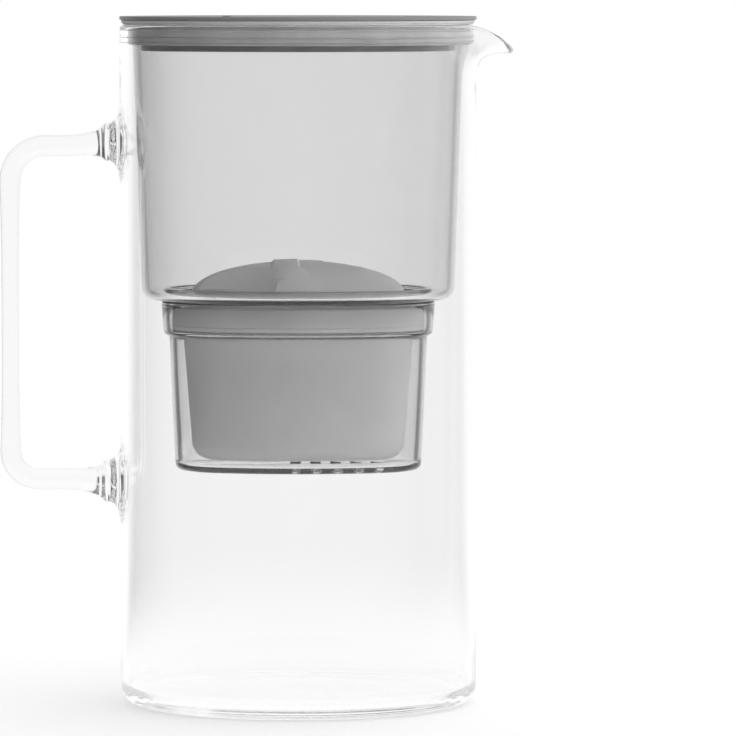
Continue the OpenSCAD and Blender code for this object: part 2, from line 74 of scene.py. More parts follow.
def pick(ob, test, kind="VERT"):
    """Select what passes test(x, y, z, way), in mm. way is an edge's direction."""
    bpy.ops.mesh.select_mode(type=kind)
    bpy.ops.mesh.select_all(action="DESELECT")
    bm = bmesh.from_edit_mesh(ob.data)
    for part in bm.verts if kind == "VERT" else bm.edges:
        if kind == "VERT":
            at, way = part.co, None
        else:
            start, end = (v.co for v in part.verts)
            at, way = (start + end) / 2, end - start
        if test(at.x / MM, at.y / MM, at.z / MM, way):
            part.select_set(True)
    bmesh.update_edit_mesh(ob.data)


def stands(way):
    return abs(way.z) > 0.5 * way.length


def lies(way):
    return abs(way.z) < 0.1 * way.length


# %% Apply a modifier, cut or join two solids, and close up a mesh
def apply_modifier(ob, kind, **settings):
    let_go()
    bpy.context.view_layer.objects.active = ob
    ob.select_set(True)
    m = ob.modifiers.new(kind.lower(), kind)
    for key, value in settings.items():
        setattr(m, key, value)
    bpy.ops.object.modifier_apply(modifier=m.name)


def combine(ob, tool, how):
    """Cut tool away from ob (DIFFERENCE) or melt it in (UNION)."""
    apply_modifier(ob, "BOOLEAN", object=tool, operation=how, solver="EXACT")
    bpy.data.objects.remove(tool)


def close_up():
    """Merge doubles, turn every face outwards and leave edit mode."""
    bpy.ops.mesh.select_all(action="SELECT")
    bpy.ops.mesh.remove_doubles(threshold=0.004 * MM)
    bpy.ops.mesh.normals_make_consistent(inside=False)
    bpy.ops.object.mode_set(mode="OBJECT")


# %% [markdown]
# Every piece ends in the same way.


# %% Finish a piece
def finish_piece(ob, material, body, nodes, angle=40):
    let_go()
    bpy.context.view_layer.objects.active = ob
    ob.select_set(True)
    bpy.ops.object.mode_set(mode="EDIT")
    close_up()
    bpy.ops.object.transform_apply(location=True, rotation=True, scale=True)
    bpy.ops.object.shade_smooth_by_angle(angle=math.radians(angle))
    ob.data.materials.clear()
    ob.data.materials.append(material)
    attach(ob, body)
    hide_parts(*nodes)
    size = [round(v / MM, 1) for v in ob.dimensions]
    print(f"{ob.name}: {len(ob.data.polygons)} faces, {size} mm")


# %% [markdown]
# ## Turning on a lathe
# Glass, funnel, gasket and lid ring are round, so they are turned. One vertex is extruded from
# point to point along half of the section, as a lathe tool would follow it, and then spun once
# round the jug's axis.


# %% Arcs for a section, and the lathe
def arc(cx, cz, r, start, end, steps):
    turn = [math.radians(start + (end - start) * i / steps) for i in range(steps + 1)]
    return [(cx + r * math.cos(t), cz + r * math.sin(t)) for t in turn]


def lathe(name, section, steps, closed=False):
    """Spin a section round the axis. A closed section is a ring that doesn't touch the axis."""
    let_go()
    bpy.ops.mesh.primitive_plane_add(size=1 * MM)
    ob = begin(name)
    bpy.ops.mesh.merge(type="CENTER")
    bpy.ops.transform.translate(value=(section[0][0] * MM, 0, section[0][1] * MM))
    for (x0, z0), (x1, z1) in zip(section, section[1:]):
        step = ((x1 - x0) * MM, 0, (z1 - z0) * MM)
        bpy.ops.mesh.extrude_vertices_move(TRANSFORM_OT_translate={"value": step})
    if closed:
        ends = section[0], section[-1]
        pick(ob, lambda x, y, z, n: any(math.hypot(x - a, z - b) < 1e-4 for a, b in ends))
        bpy.ops.mesh.edge_face_add()
    bpy.ops.mesh.select_all(action="SELECT")
    bpy.ops.mesh.spin(steps=steps, angle=math.tau, center=(0, 0, 0), axis=(0, 0, 1))
    close_up()
    return ob


# %% [markdown]
# ## Ovals from four arcs
# The cartridge, its holder and their seals share one oval. It is drawn with two radii, like a
# stadium with bowed sides, so every ring is the same distance from its neighbour all round. Each
# vertex keeps the angle of its outward normal in a layer, and each new ring is extruded from the
# last and laid on its own oval.

# %% The oval's numbers
OVAL_END_X = 21.0
OVAL_A, OVAL_B = 44.2, 27.2
OVAL_K = OVAL_B - OVAL_A + OVAL_END_X
OVAL_SIDE_Y = (OVAL_END_X**2 - OVAL_K**2) / (2 * OVAL_K)
OVAL_TURN = math.atan2(OVAL_SIDE_Y, OVAL_END_X)


def oval_point(a, f):
    if abs(math.cos(f)) > math.cos(OVAL_TURN):
        side = math.copysign(1, math.cos(f))
        r = a - OVAL_END_X
        return side * OVAL_END_X + r * math.cos(f), r * math.sin(f)
    r = OVAL_B + OVAL_SIDE_Y + a - OVAL_A
    return r * math.cos(f), r * math.sin(f) - math.copysign(OVAL_SIDE_Y, math.sin(f))


print(f"oval: side centre at {OVAL_SIDE_Y:.1f} mm, arcs meet at {math.degrees(OVAL_TURN):.1f} deg")


# %% Extrude rings along an oval wall
def lay_ring(ob, a, z, shrink=1.0):
    bm = bmesh.from_edit_mesh(ob.data)
    turn = bm.verts.layers.float["turn"]
    for v in bm.verts:
        if v.select:
            x, y = oval_point(a, v[turn])
            v.co = (x * shrink * MM, y * shrink * MM, z * MM)
    bmesh.update_edit_mesh(ob.data)


def oval_wall(name, rings, sides=144, ends="cap"):
    """rings are (half length, height) or (half length, height, shrink). The ends are closed with
    flat faces, or the last ring is joined to the first."""
    let_go()
    bpy.ops.mesh.primitive_circle_add(vertices=sides, radius=rings[0][0] * MM)
    ob = begin(name)
    bm = bmesh.from_edit_mesh(ob.data)
    turn = bm.verts.layers.float.new("turn")
    for v in bm.verts:
        v[turn] = math.atan2(v.co.y, v.co.x)
    lay_ring(ob, *rings[0])
    if ends == "cap":
        bpy.ops.mesh.edge_face_add()
    for ring in rings[1:]:
        bpy.ops.mesh.extrude_edges_move()
        lay_ring(ob, *ring)
    if ends == "cap":
        bpy.ops.mesh.edge_face_add()
    else:
        bpy.ops.mesh.select_all(action="DESELECT")
        bpy.ops.mesh.select_non_manifold()
        bpy.ops.mesh.bridge_edge_loops()
    bpy.ops.mesh.select_all(action="SELECT")
    bpy.ops.mesh.normals_make_consistent(inside=False)
    bpy.ops.object.mode_set(mode="OBJECT")
    return ob


# %% [markdown]
# ## Finishes
# All finishes are built from nodes on Object coordinates, so they stay on the piece when it moves.
# A small helper starts a Principled material. Others take a pattern, which runs from 0 to 1 over
# the piece, and turn it into a fine relief, a change in roughness or a drift in colour. Numbers
# that are the same all over sit on the shader's own sockets.


# %% Start a material
def add(tree, kind):
    return tree.nodes.new("ShaderNode" + kind)


def start_material(name, colour, roughness, **sockets):
    mat = bpy.data.materials.new(name)
    mat.use_nodes = True
    shader = mat.node_tree.nodes["Principled BSDF"]
    shader.inputs["Base Color"].default_value = (*colour, 1)
    shader.inputs["Roughness"].default_value = roughness
    for key, value in sockets.items():
        shader.inputs[key.replace("_", " ")].default_value = value
    print(f"{name}: colour {colour}, roughness {roughness}")
    return mat, mat.node_tree, shader


# %% Patterns, and what they change
def noise_on_piece(tree, scale, detail, stretch=(1, 1, 1)):
    place = add(tree, "TexCoord")
    turn = add(tree, "Mapping")
    turn.inputs["Scale"].default_value = stretch
    noise = add(tree, "TexNoise")
    noise.inputs["Scale"].default_value = scale
    noise.inputs["Detail"].default_value = detail
    tree.links.new(place.outputs["Object"], turn.inputs["Vector"])
    tree.links.new(turn.outputs["Vector"], noise.inputs["Vector"])
    return noise.outputs["Fac"]


def add_relief(tree, shader, pattern, depth_mm, strength):
    bump = add(tree, "Bump")
    bump.inputs["Strength"].default_value = strength
    bump.inputs["Distance"].default_value = depth_mm * MM
    tree.links.new(pattern, bump.inputs["Height"])
    tree.links.new(bump.outputs["Normal"], shader.inputs["Normal"])


def vary_roughness(tree, shader, pattern, low, high):
    spread = add(tree, "MapRange")
    spread.inputs["From Min"].default_value = 0.3
    spread.inputs["From Max"].default_value = 0.7
    spread.inputs["To Min"].default_value = low
    spread.inputs["To Max"].default_value = high
    tree.links.new(pattern, spread.inputs["Value"])
    tree.links.new(spread.outputs["Result"], shader.inputs["Roughness"])


def vary_colour(tree, shader, pattern, dark, light):
    ramp = add(tree, "ValToRGB")
    ramp.color_ramp.elements[0].position = 0.32
    ramp.color_ramp.elements[0].color = (*dark, 1)
    ramp.color_ramp.elements[1].position = 0.68
    ramp.color_ramp.elements[1].color = (*light, 1)
    tree.links.new(pattern, ramp.inputs["Fac"])
    tree.links.new(ramp.outputs["Color"], shader.inputs["Base Color"])


# %% [markdown]
# ### Clear glass
# Borosilicate glass is colourless, smooth and a little uneven, because it is blown by hand. It is
# a fully transmitting shader with the glass's own index of refraction and a slow, shallow wave. It
# has no absorption: a mesh with two glass finishes can't carry a volume, and this one gets a
# second finish at its welds.

# %% Clear glass
GLASS_INDEX = 1.47
blown_glass, tree, shader = start_material(
    "blown_glass", (1, 1, 1), 0.0, Transmission_Weight=1.0, IOR=GLASS_INDEX
)
wave = noise_on_piece(tree, 18, 1.0, (1, 1, 0.35))
add_relief(tree, shader, wave, 0.35, 0.25)

# %% [markdown]
# Where the rod is melted to its boss there is no skin any more, only a trace of the seam. Those
# two round faces get a glass whose index is close to that of what lies behind it, so light goes
# straight on and is only stirred a little.

# %% Fused glass
FUSED_INDEX = 1.02
fused_glass, tree, shader = start_material(
    "fused_glass", (1, 1, 1), 0.0, Transmission_Weight=1.0, IOR=FUSED_INDEX
)
ripple = noise_on_piece(tree, 200, 1.0)
add_relief(tree, shader, ripple, 0.1, 0.1)

# %% [markdown]
# ### Smoky plastic
# The funnel and the filter holder are moulded in one smoky, see-through plastic. What makes it
# grey is its depth, not its skin: the tint comes from absorption, so a wall seen edge on turns
# dark, as it does on the real piece. The skin keeps a faint polish haze.


# %% Smoky plastic, thin for the funnel and denser for the holder
PLASTIC_INDEX = 1.5
SMOKE = (0.5, 0.5, 0.505)
FUNNEL_SMOKE, HOLDER_SMOKE = 42.0, 62.0


def add_absorption(tree, colour, density):
    inside = add(tree, "VolumeAbsorption")
    inside.inputs["Color"].default_value = (*colour, 1)
    inside.inputs["Density"].default_value = density
    out = next(n for n in tree.nodes if n.type == "OUTPUT_MATERIAL")
    tree.links.new(inside.outputs["Volume"], out.inputs["Volume"])


def smoky_plastic(name, density):
    mat, tree, shader = start_material(
        name, (0.97, 0.97, 0.97), 0.02, Transmission_Weight=1.0, IOR=PLASTIC_INDEX
    )
    haze = noise_on_piece(tree, 60, 2.0)
    vary_roughness(tree, shader, haze, 0.01, 0.04)
    add_relief(tree, shader, haze, 0.05, 0.1)
    add_absorption(tree, SMOKE, density)
    wall = 2.4 * MM
    print(f"{name}: a wall of 2.4 mm lets through {math.exp(-wall * density * (1 - SMOKE[0])):.2f}")
    return mat


smoky_funnel = smoky_plastic("smoky_funnel", FUNNEL_SMOKE)
smoky_holder = smoky_plastic("smoky_holder", HOLDER_SMOKE)

# %% [markdown]
# The funnel's flange has a spark-eroded, matt texture where the lid rests on it. It scatters light
# and reads as a solid mid grey.

# %% Matt flange
matt_flange, tree, shader = start_material(
    "matt_flange", (0.3, 0.3, 0.305), 0.55, IOR=PLASTIC_INDEX
)
spark = noise_on_piece(tree, 1500, 3.0)
flange_dark, flange_light = (0.28, 0.28, 0.285), (0.33, 0.33, 0.335)
vary_colour(tree, shader, spark, flange_dark, flange_light)
add_relief(tree, shader, spark, 0.03, 0.4)

# %% [markdown]
# ### Opaque plastics
# The lid and the cartridge are injection moulded. Under a lamp such plastic shows a fine orange
# peel, a little change in gloss from place to place, and a barely visible drift in tone. The same
# recipe makes the dark lid top, the lid's lighter ring and the cartridge, with its own numbers.


# %% Moulded plastic
def moulded_plastic(name, tone, roughness, peel):
    low = tuple(v * 0.94 for v in tone)
    high = tuple(min(1, v * 1.05) for v in tone)
    mat, tree, shader = start_material(name, tone, roughness, IOR=PLASTIC_INDEX)
    drift = noise_on_piece(tree, 35, 3.0)
    vary_colour(tree, shader, drift, low, high)
    vary_roughness(tree, shader, drift, roughness - 0.04, roughness + 0.05)
    grain = noise_on_piece(tree, 2600, 2.0)
    add_relief(tree, shader, grain, 0.02, peel)
    return mat


lid_dark = moulded_plastic("lid_dark_plastic", (0.125, 0.125, 0.128), 0.45, 0.35)
lid_mid = moulded_plastic("lid_mid_plastic", (0.28, 0.28, 0.285), 0.4, 0.35)
cartridge_grey = moulded_plastic("cartridge_plastic", (0.93, 0.93, 0.935), 0.42, 0.25)

# %% [markdown]
# ### Soft parts
# Silicone and rubber reflect little and scatter light at the surface, so they get a high roughness,
# a soft sheen and a dusty drift in tone. The sheen grows with the tone, because a black rubber with
# a full sheen would look grey. The gasket and the cartridge's seal are grey. The funnel's grommet
# is black rubber, and its black is also painted shade for the dark gap round the holder's neck.


# %% Silicone and rubber
def soft_rubber(name, tone, roughness):
    mat, tree, shader = start_material(
        name, tone, roughness, Sheen_Weight=0.3 * tone[0], Sheen_Roughness=0.5
    )
    drift = noise_on_piece(tree, 120, 4.0)
    low = tuple(v * 0.9 for v in tone)
    high = tuple(v * 1.08 for v in tone)
    vary_colour(tree, shader, drift, low, high)
    dust = noise_on_piece(tree, 1800, 2.0)
    add_relief(tree, shader, dust, 0.03, 0.3)
    return mat


gasket_silicone = soft_rubber("gasket_silicone", (0.38, 0.38, 0.385), 0.5)
# The grommet's black is its rubber, and it is also painted shade for the gap round the holder's
# neck.
grommet_rubber_painted_shade = soft_rubber("grommet_rubber_painted_shade", (0.012, 0.012, 0.012), 0.6)
seal_rubber = soft_rubber("seal_rubber", (0.4, 0.4, 0.4), 0.6)

# %% [markdown]
# ### Filter media
# Coconut carbon is a bed of black, slightly shiny grains, and the resin is a bed of amber beads.
# A cell pattern gives each grain its own tone and a round shoulder. The screens are woven from
# fine white thread: two crossed waves make the weave.


# %% Beds of grains
def grain_bed(name, dark, light, grain_mm, roughness):
    mat, tree, shader = start_material(name, light, roughness)
    place = add(tree, "TexCoord")
    cells = add(tree, "TexVoronoi")
    cells.inputs["Scale"].default_value = 1000 / grain_mm
    tree.links.new(place.outputs["Object"], cells.inputs["Vector"])
    tone = add(tree, "SeparateColor")
    tree.links.new(cells.outputs["Color"], tone.inputs["Color"])
    vary_colour(tree, shader, tone.outputs["Red"], dark, light)
    low = add(tree, "Math")
    low.operation = "SUBTRACT"
    low.inputs[0].default_value = 1.0
    tree.links.new(cells.outputs["Distance"], low.inputs[1])
    add_relief(tree, shader, low.outputs["Value"], grain_mm * 0.5, 0.8)
    return mat


black, charcoal = (0.008, 0.008, 0.008), (0.045, 0.045, 0.045)
brown, amber = (0.32, 0.17, 0.05), (0.75, 0.5, 0.2)
coconut_carbon = grain_bed("coconut_carbon", black, charcoal, 1.1, 0.5)
amber_resin = grain_bed("amber_resin", brown, amber, 0.7, 0.25)

# %% Woven screen
screen_weave, tree, shader = start_material("screen_weave", (0.82, 0.82, 0.82), 0.6)
place = add(tree, "TexCoord")
cross = add(tree, "Math")
cross.operation = "MAXIMUM"
for socket, direction in enumerate("XY"):
    threads = add(tree, "TexWave")
    threads.bands_direction = direction
    threads.inputs["Scale"].default_value = 520
    tree.links.new(place.outputs["Object"], threads.inputs["Vector"])
    tree.links.new(threads.outputs["Fac"], cross.inputs[socket])
gap_tone, thread_tone = (0.35, 0.35, 0.35), (0.88, 0.88, 0.88)
vary_colour(tree, shader, cross.outputs["Value"], gap_tone, thread_tone)
add_relief(tree, shader, cross.outputs["Value"], 0.15, 0.6)

# %% Drawn steel for the hinge pin
drawn_steel, tree, shader = start_material("drawn_steel", (0.62, 0.62, 0.63), 0.28, Metallic=1.0)
draw_marks = noise_on_piece(tree, 900, 3.0, (1, 0.03, 1))
vary_roughness(tree, shader, draw_marks, 0.2, 0.38)
add_relief(tree, shader, draw_marks, 0.01, 0.4)

# %% [markdown]
# ## The glass jug
# The real jug is blown: a round wall 2.5 mm thick, a thick rounded heel, a fire-polished rim and
# a spout pulled out of that rim while it is hot. The plain vessel is turned first, with rings
# close together where the spout and the handle's welds will be.

# %% Section of the vessel
JUG_R, JUG_WALL, JUG_H = 62.5, 2.5, 238.0
HALF = JUG_WALL / 2
MID_R = JUG_R - HALF
RIM_Z = JUG_H - HALF
SPOUT_Z = 219.0
HEEL_R, FLOOR_Z, FLAT_R = 6.4, 4.0, 30
plain = [14, 24, 34, 44, 54]
weld_low = [58 + 2 * i for i in range(21)]
middle = [106, 116, 128, 140, 152, 164, 172]
weld_high = [176 + 2 * i for i in range(21)]
pulled = [SPOUT_Z + (RIM_Z - SPOUT_Z) * i / 18 for i in range(18)]
outside = [(JUG_R, z) for z in plain + weld_low + middle + weld_high + pulled]
inside = [(JUG_R - JUG_WALL, z) for z in reversed([20, 60, 100, 140, 180, 205] + pulled)]
vessel_section = (
    [(0, 0), (FLAT_R, 0)]
    + arc(JUG_R - HEEL_R, HEEL_R, HEEL_R, -90, 0, 14)
    + outside
    + arc(MID_R, RIM_Z, HALF, 0, 180, 12)
    + inside
    + arc(JUG_R - HEEL_R, FLOOR_Z + HEEL_R - JUG_WALL, HEEL_R - JUG_WALL, 0, -90, 10)
    + [(FLAT_R, FLOOR_Z), (0, FLOOR_Z)]
)
jug_glass = lathe("jug_glass", vessel_section, 256)
print("turned vessel:", len(jug_glass.data.vertices), "vertices")

# %% [markdown]
# The pull is a smooth function of the angle from the spout's middle. Along the middle, the wall
# follows a curve that leans out and then lies almost flat; at the sides it stays upright, and in
# between the two are blended. Each vertex keeps its distance from the middle of the wall, so the
# glass keeps its thickness. No edit-mode operator does this, so the vertices are moved by the
# formula.

# %% Where the middle of the wall goes
PULL_HALF = math.radians(32)
PULL_POWER, DROP_POWER = 2.5, 1.9
LIP = [(61.25, 219.0), (61.51, 227.71), (65.89, 229.25), (74.15, 229.25)]


def pull_share(f):
    """1 in the middle of the spout, 0 where it ends. f is the angle from its middle."""
    if abs(f) >= PULL_HALF:
        return 0.0
    return ((1 + math.cos(math.pi * f / PULL_HALF)) / 2) ** PULL_POWER


def wall_middle(f, t):
    """t runs from 0 at the spout's root to 1 at the rim."""
    upright = (MID_R, SPOUT_Z + (RIM_Z - SPOUT_Z) * t)
    if t < 0:
        lip = upright
    else:
        share = (1 - t) ** 3, 3 * t * (1 - t) ** 2, 3 * t * t * (1 - t), t**3
        lip = [sum(s * p[i] for s, p in zip(share, LIP)) for i in (0, 1)]
    w = pull_share(f)
    r = upright[0] + (lip[0] - upright[0]) * w
    z = upright[1] + (lip[1] - upright[1]) * w**DROP_POWER
    return Vector((r * math.cos(f), r * math.sin(f), z))


def wall_axes(f, t):
    small_t, small_f = 0.01, 0.004
    up = (wall_middle(f, t + small_t) - wall_middle(f, t - small_t)).normalized()
    along = wall_middle(f + small_f, t) - wall_middle(f - small_f, t)
    return along.cross(up).normalized(), up


# %% Pull the spout
moved = 0
for v in jug_glass.data.vertices:
    f = math.atan2(v.co.y, v.co.x)
    z = v.co.z / MM
    if abs(f) >= PULL_HALF or z < SPOUT_Z - 0.5:
        continue
    t = min(1.0, (z - SPOUT_Z) / (RIM_Z - SPOUT_Z))
    above = max(0.0, z - RIM_Z)
    off = math.hypot(v.co.x, v.co.y) / MM - MID_R
    out, up = wall_axes(f, t)
    v.co = (wall_middle(f, t) + off * out + above * up) * MM
    moved += 1
print("vertices pulled:", moved)


# %% [markdown]
# The handle is welded to two glass bosses that grow out of the wall like the bell of a trumpet.
# Each is turned as a disc, bent to the round wall so that its thin rim sinks into the glass, and
# melted into the vessel.


# %% Bosses for the handle
UPPER_WELD_Z, LOWER_WELD_Z = 197.0, 78.0
UPPER_PAD_R, LOWER_PAD_R = 6.65, 7.5
PAD_OUT, BELL_OUT, ROOT_IN = 3.4, 8.2, 1.3


def weld_boss(name, height, pad_r):
    """A disc whose pad faces the handle, with a bell that runs out into the wall."""
    bell = [(pad_r, 3.38), (pad_r + 0.5, 2.5), (pad_r + 1.2, 1.75), (pad_r + 2.2, 1.15)]
    bell += [(pad_r + 3.6, 0.66), (pad_r + 5.2, 0.3), (pad_r + 7.0, 0.02), (pad_r + BELL_OUT, -0.3)]
    section = [(0, PAD_OUT), (pad_r * 0.6, PAD_OUT), (pad_r - 0.12, PAD_OUT)] + bell
    section += [(pad_r + BELL_OUT, -ROOT_IN), (0, -ROOT_IN)]
    ob = lathe(name, section, 96)
    for v in ob.data.vertices:
        r, y = math.hypot(v.co.x, v.co.y) / MM, v.co.y / MM
        follow = min(1.0, max(0.0, (r - pad_r) / 3.5))
        drop = JUG_R - math.sqrt(JUG_R**2 - y**2)
        x = -(JUG_R + v.co.z / MM) + drop * follow * follow * (3 - 2 * follow)
        v.co = Vector((x, y, v.co.x / MM + height)) * MM
    ob.data.flip_normals()
    return ob


combine(jug_glass, weld_boss("upper_boss", UPPER_WELD_Z, UPPER_PAD_R), "UNION")
combine(jug_glass, weld_boss("lower_boss", LOWER_WELD_Z, LOWER_PAD_R), "UNION")
finish_piece(jug_glass, blown_glass, "jug", ["jug_body"], angle=50)

# %% [markdown]
# The round faces in which boss and rod meet are found by their place and direction. They take the
# fused finish, here on the boss and later on the rod.

# %% Fuse the faces of the welds
WELD_X, NEAR_WELD = -65.9, 0.3


def fuse_faces(ob):
    ob.data.materials.append(fused_glass)
    flat = [f for f in ob.data.polygons if abs(f.normal.x) > 0.99]
    fused = [f for f in flat if abs(f.center.x / MM - WELD_X) < NEAR_WELD]
    for f in fused:
        f.material_index = 1
    print(f"{ob.name}: {len(fused)} fused faces")


fuse_faces(jug_glass)

# %% [markdown]
# ## The handle
# The handle is one glass rod, drawn a little thinner down its long run, with both ends spread out
# against the bosses. A ring is extruded along the upper arm, spun round the first bend, extruded
# down, spun round the second bend and led back, being resized on the way. Each place along an arm
# is given by its distance from the rod's end, its radius and the height of the centre line.

# %% Steps along the rod
RUN_X = -101.05
UPPER_Z, LOWER_Z = 195.75, 78.6
UPPER_BEND, LOWER_BEND = 12.5, 10.0
ROD_END_X = -65.95


def step_ring(dx, dz, factor, centre):
    bpy.ops.mesh.extrude_edges_move(TRANSFORM_OT_translate={"value": (dx * MM, 0, dz * MM)})
    at = Vector(centre) * MM
    bpy.ops.transform.resize(value=(factor, factor, factor), center_override=at)


def bend_ring(centre, angle, steps=18):
    at = Vector(centre) * MM
    bpy.ops.mesh.spin(steps=steps, angle=math.radians(angle), center=at, axis=(0, 1, 0))


# %% The rod
let_go()
x, r, z = 0.0, 6.3, UPPER_WELD_Z
at = (ROD_END_X * MM, 0, UPPER_WELD_Z * MM)
bpy.ops.mesh.primitive_circle_add(
    vertices=64, radius=r * MM, location=at, rotation=(0, math.radians(-90), 0)
)
handle_rod = begin("handle_rod")
bpy.ops.object.mode_set(mode="OBJECT")
bpy.ops.object.transform_apply(location=True, rotation=True, scale=True)
bpy.ops.object.mode_set(mode="EDIT")
bpy.ops.mesh.select_all(action="SELECT")
bpy.ops.mesh.edge_face_add()
upper_end = [(0.35, 6.65, 197), (1.3, 6.65, 197), (1.8, 6.4, 197), (2.5, 5.6, 196.9)]
upper_end += [(3.4, 5.0, 196.8), (4.8, 4.5, 196.6), (6.8, 4.1, 196.4), (9.5, 3.85, 196.1)]
upper_end += [(12.5, 3.75, 195.85), (16, 3.72, 195.75)]
for nx, nr, nz in upper_end:
    step_ring(-(nx - x), nz - z, nr / r, (ROD_END_X - nx, 0, nz))
    x, r, z = nx, nr, nz
bend_x = RUN_X + UPPER_BEND
step_ring(bend_x - (ROD_END_X - x), 0, 1, (bend_x, 0, UPPER_Z))
bend_ring((bend_x, 0, UPPER_Z - UPPER_BEND), 90)
print("upper arm radius", r)

# %% Down the long run and back in
z = UPPER_Z - UPPER_BEND
down = [(178, 3.5), (170, 3.25), (158, 3.1), (140, 3.05), (120, 3.05), (106, 3.15)]
down += [(97, 3.35), (91, 3.6), (LOWER_Z + LOWER_BEND, 3.7)]
for nz, nr in down:
    step_ring(0, nz - z, nr / r, (RUN_X, 0, nz))
    z, r = nz, nr
bend_x = RUN_X + LOWER_BEND
bend_ring((bend_x, 0, LOWER_Z + LOWER_BEND), 90)
lower_end = [(17, 3.72, 78.6), (13, 3.8, 78.55), (10, 4.0, 78.45), (7.5, 4.4, 78.3)]
lower_end += [(5.4, 4.95, 78.15), (3.8, 5.6, 78.05), (2.7, 6.4, 78), (2.0, 7.1, 78)]
lower_end += [(1.5, 7.45, 78), (0.35, 7.5, 78), (0, 7.15, 78)]
x, z = ROD_END_X - bend_x, LOWER_Z
for nx, nr, nz in lower_end:
    step_ring(x - nx, nz - z, nr / r, (ROD_END_X - nx, 0, nz))
    x, r, z = nx, nr, nz
bpy.ops.mesh.edge_face_add()
finish_piece(handle_rod, blown_glass, "jug", ["jug_handle"], angle=50)
fuse_faces(handle_rod)

# %% [markdown]
# ## The mouth gasket
# A soft grey band sits round the funnel's collar. Its flange lies over the rim of the glass, and
# three lips press on the inside of the glass, and a hair into it, as soft lips give way: a thick
# one at the top and two thin ones below. They are drawn into the section as small rounded fins.


# %% The gasket's section
CORE_R, TIP_R, COLLAR_R = 59.4, 60.03, 57.87
THIN_LIP, THICK_LIP = 0.55, 0.95


def fin(z, thick):
    low = [(CORE_R, z - thick * 0.62), (TIP_R - 0.25, z - thick * 0.4), (TIP_R, z - thick * 0.12)]
    high = [(TIP_R, z + thick * 0.12), (TIP_R - 0.25, z + thick * 0.4), (CORE_R, z + thick * 0.62)]
    return low + high


gasket_section = [(COLLAR_R, 231.1), (CORE_R - 0.45, 231.1), (CORE_R - 0.05, 231.3)]
gasket_section += fin(231.85, THIN_LIP) + fin(233.65, THIN_LIP) + fin(236.25, THICK_LIP)
gasket_section += [(CORE_R, 237.4), (CORE_R + 0.35, 238.02), (60.9, 238.1), (61.2, 238.15)]
gasket_section += [(61.45, 238.4), (61.35, 238.66), (61.1, 238.69), (COLLAR_R, 238.69)]
mouth_gasket = lathe("gasket_band", gasket_section, 256, closed=True)
finish_piece(mouth_gasket, gasket_silicone, "hopper", ["mouth_gasket"])

# %% [markdown]
# ## The funnel
# The funnel holds the raw water. Its wall is turned with both faces in one section, from the oval
# floor's edge outside, round the corner, up to the rim flange and back down inside. The floor is
# then drawn in from the last round loops to the oval opening that the filter holder grips.

# %% Turn the wall
FLOOR_LOW, FLOOR_TOP = 142.2, 144.4
CORNER_OUT_X, CORNER_IN_X, CORNER_Z = 50.4, 50.2, 146.7
FLANGE_LOW = 238.7
funnel_section = arc(CORNER_OUT_X, CORNER_Z, CORNER_Z - FLOOR_LOW, -90, 0, 10)
funnel_section += [(55.6, 168), (56.3, 188), (57.0, 208), (57.85, 230.8), (57.85, FLANGE_LOW)]
funnel_section += [(61.6, FLANGE_LOW), (61.8, 238.76), (61.9, 239.0), (61.9, 239.4), (61.8, 239.62)]
funnel_section += [(61.55, 239.7), (55.85, 239.7), (55.6, 239.62), (55.45, 239.4), (55.45, 230.8)]
funnel_section += [(54.6, 208), (53.9, 188), (53.2, 168)]
funnel_section += arc(CORNER_IN_X, CORNER_Z, CORNER_Z - FLOOR_TOP, 0, -90, 8)
hopper_funnel = lathe("hopper_funnel", funnel_section, 192)
print("funnel wall:", len(hopper_funnel.data.polygons), "faces")

# %% Draw the floor in to the oval
FUNNEL_HOLE_A = 46.8


def on_floor_edge(height):
    reach = CORNER_OUT_X + 0.05
    return lambda x, y, z, n: abs(z - height) < 0.01 and math.hypot(x, y) < reach


bpy.ops.object.mode_set(mode="EDIT")
bm = bmesh.from_edit_mesh(hopper_funnel.data)
turn = bm.verts.layers.float.new("turn")
for v in bm.verts:
    v[turn] = math.atan2(v.co.y, v.co.x)
bmesh.update_edit_mesh(hopper_funnel.data)
for height in (FLOOR_LOW, FLOOR_TOP):
    pick(hopper_funnel, on_floor_edge(height))
    bpy.ops.mesh.extrude_edges_move()
    lay_ring(hopper_funnel, FUNNEL_HOLE_A, height)
bpy.ops.mesh.select_all(action="DESELECT")
bpy.ops.mesh.select_non_manifold()
bpy.ops.mesh.bridge_edge_loops()
finish_piece(hopper_funnel, smoky_funnel, "hopper", ["hopper"])

# %% Give the flange its matt finish
hopper_funnel.data.materials.append(matt_flange)
for face in hopper_funnel.data.polygons:
    if face.center.z > (FLANGE_LOW - 0.1) * MM:
        face.material_index = 1

# %% [markdown]
# ## The filter holder
# The holder is an oval cup that hangs under the funnel. Its neck reaches up through the funnel's
# floor and ends in a snap bead. Below the shoulder the wall steps in, which leaves a seat inside
# for the cartridge's seal. All of it is one run of oval rings: up the outside, over the neck and
# down the inside. Its base has a row of outlet slots, cut with a plate that has round ends.

# %% Rings of the holder
holder_rings = arc(40.7, 84.6, 2.5, -90, 0, 6)
holder_rings += [(44.0, 100), (44.6, 114), (45.2, 128.6), (45.45, 129.1), (46.1, 129.5)]
holder_rings += [(46.8, 129.9), (47.15, 130.5), (47.3, 131.3), (48.0, 140.3), (47.95, 140.75)]
holder_rings += [(47.7, 141.0), (46.6, 141.0), (46.6, 144.7), (47.15, 144.95), (47.2, 145.15)]
holder_rings += [(47.05, 145.4), (46.6, 145.75), (46.4, 145.8), (45.1, 145.8), (44.9, 145.65)]
holder_rings += [(44.9, 141.2), (45.1, 140.8), (45.55, 140.2), (45.1, 131.4), (44.95, 131.0)]
holder_rings += [(44.6, 130.8), (43.2, 130.8), (42.95, 130.6), (42.85, 130.2)]
holder_rings += [(42.3, 114), (41.6, 100)] + arc(38.9, 86.1, 2.0, 0, -90, 5)
holder_cup = oval_wall("holder_cup", holder_rings)
print("holder rings:", len(holder_rings))


